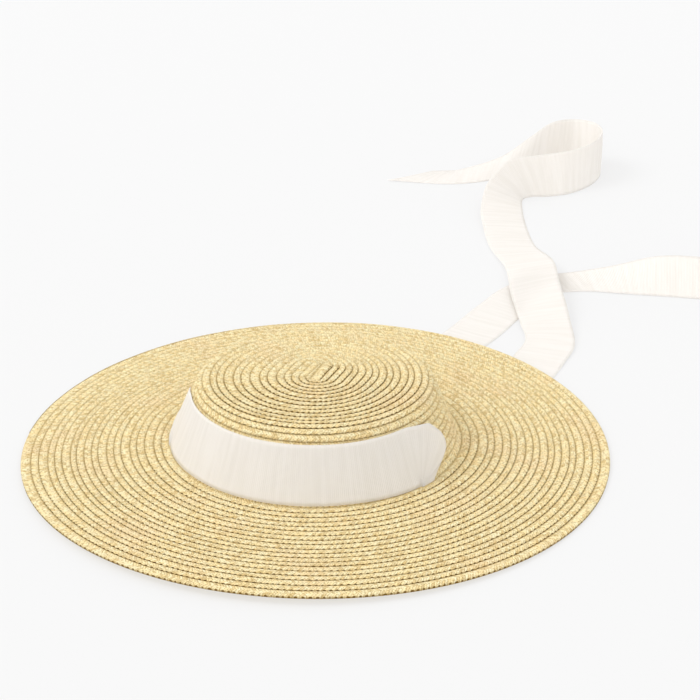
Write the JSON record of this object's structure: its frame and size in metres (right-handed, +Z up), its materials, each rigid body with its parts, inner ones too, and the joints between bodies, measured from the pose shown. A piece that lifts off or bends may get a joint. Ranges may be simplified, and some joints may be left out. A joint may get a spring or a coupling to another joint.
{
  "type": "straw hat",
  "caption": "Flat-top straw hat with a wide round brim, a shallow hollow crown and a long tie ribbon that passes through slots at the foot of the crown and lies loose.",
  "frame": {"origin": "centre of the inside face of the crown's flat top, where the hat rests on the head", "axes": "+Z up through the flat top, +X to the hat's right side, -Y to its front"},
  "size_m": [0.5001, 0.823, 0.054],
  "materials": {
    "straw": "matte plaited straw",
    "ribbon": "satin ribbed weave"
  },
  "bodies": {
    "root": {"crown": "straw", "brim": "straw", "ribbon_band": "ribbon", "ribbon_tail_right": "ribbon", "ribbon_tail_left": "ribbon"}
  },
  "joints": []
}
